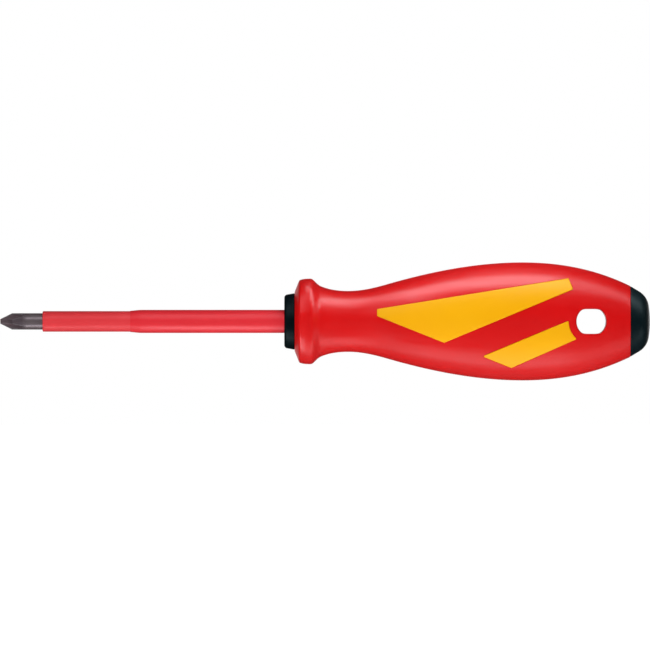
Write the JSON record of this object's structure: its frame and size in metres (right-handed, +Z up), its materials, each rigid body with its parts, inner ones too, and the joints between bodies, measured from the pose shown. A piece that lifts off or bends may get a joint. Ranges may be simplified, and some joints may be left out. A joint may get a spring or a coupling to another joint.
{
  "type": "insulated screwdriver",
  "caption": "Cross-tip screwdriver with a two-layer insulated blade and a contoured red handle with yellow panels, a black collar, a black end cap and a hanging hole.",
  "frame": {"origin": "on the tool's axis at the front face of the black collar", "axes": "X along the tool with the tip towards -X, +Z up as in the picture, and the hanging hole along Y"},
  "size_m": [0.183, 0.0334, 0.0332],
  "materials": {
    "steel": "dark burnished tool steel",
    "insulation": "smooth moulded sleeve",
    "black_plastic": "satin",
    "core_plastic": "as moulded, hidden",
    "red_grip": "satin",
    "yellow_panel": "satin, soft moulded"
  },
  "bodies": {
    "root": {"blade": "steel", "inner_insulation": "insulation", "outer_insulation": "insulation", "front_collar": "black_plastic", "handle_core": "core_plastic", "grip_shell": "red_grip", "end_cap": "black_plastic", "panel_front_near": "yellow_panel", "panel_rear_near": "yellow_panel", "panel_front_far": "yellow_panel", "panel_rear_far": "yellow_panel"}
  },
  "joints": []
}
